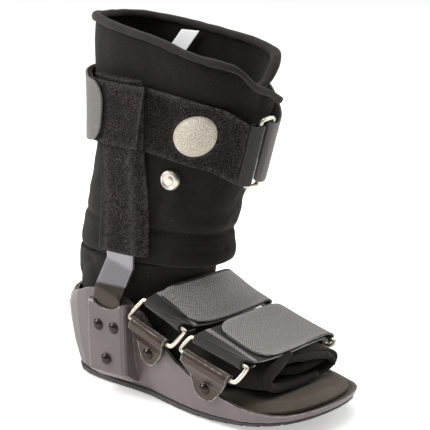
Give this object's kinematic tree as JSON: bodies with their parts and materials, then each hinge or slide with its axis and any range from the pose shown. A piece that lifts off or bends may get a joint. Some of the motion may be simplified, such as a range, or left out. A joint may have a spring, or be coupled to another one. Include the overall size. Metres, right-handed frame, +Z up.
{
  "type": "medical walking boot",
  "caption": "Short orthopaedic walking boot: a padded leg wrap and foot wrap in a rigid rocker shell, with side uprights, an air pump and ring-held straps.",
  "frame": {"origin": "on the ground, in the middle plane of the foot, under the flat middle part of the sole", "axes": "+X towards the toe, +Y towards the side without the pump, +Z up along the leg"},
  "size_m": [0.2516, 0.1316, 0.2909],
  "materials": {
    "shell_plastic": "satin warm grey",
    "sole_rubber": "matt, ribbed across",
    "insole_foam": "soft matt foam with a bevelled edge",
    "quilted_lining": "brushed, faintly fuzzy",
    "edge_binding": "knitted tape",
    "loop_pile": "looped pile with light flecks",
    "upright_metal": "brushed along its length",
    "webbing": "close ribbed weave",
    "pump_rubber": "pebbled",
    "valve_chrome": "polished",
    "label_cloth": "smooth woven label, bare",
    "ring_chrome": "polished wire",
    "bracket_steel": "dark, satin",
    "rivet_steel": "dark, glossy"
  },
  "bodies": {
    "root": {"shell": "shell_plastic", "outsole": "sole_rubber", "insole": "insole_foam", "leg_wrap": "quilted_lining", "foot_bootie": "quilted_lining", "top_binding": "edge_binding", "sleeve_outer": "loop_pile", "sleeve_inner": "loop_pile", "calf_band": "loop_pile", "calf_patch": "loop_pile", "upright_outer": "upright_metal", "upright_inner": "upright_metal", "ring_loop": "webbing", "calf_strap": "webbing", "ankle_strap": "webbing", "forefoot_strap": "webbing", "pump_bulb": "pump_rubber", "air_valve": "valve_chrome", "size_label": "label_cloth", "calf_ring": "ring_chrome", "ankle_ring_outer": "ring_chrome", "ankle_bracket_outer": "bracket_steel", "ankle_rivet_outer": "rivet_steel", "ankle_ring_inner": "ring_chrome", "ankle_bracket_inner": "bracket_steel", "ankle_rivet_inner": "rivet_steel", "forefoot_ring_outer": "ring_chrome", "forefoot_bracket_outer": "bracket_steel", "forefoot_rivet_outer": "rivet_steel", "forefoot_ring_inner": "ring_chrome", "forefoot_bracket_inner": "bracket_steel", "forefoot_rivet_inner": "rivet_steel", "pocket_rivet_outer_1": "rivet_steel", "pocket_rivet_outer_2": "rivet_steel", "pocket_rivet_outer_3": "rivet_steel", "pocket_rivet_inner_1": "rivet_steel", "pocket_rivet_inner_2": "rivet_steel", "pocket_rivet_inner_3": "rivet_steel"}
  },
  "joints": []
}
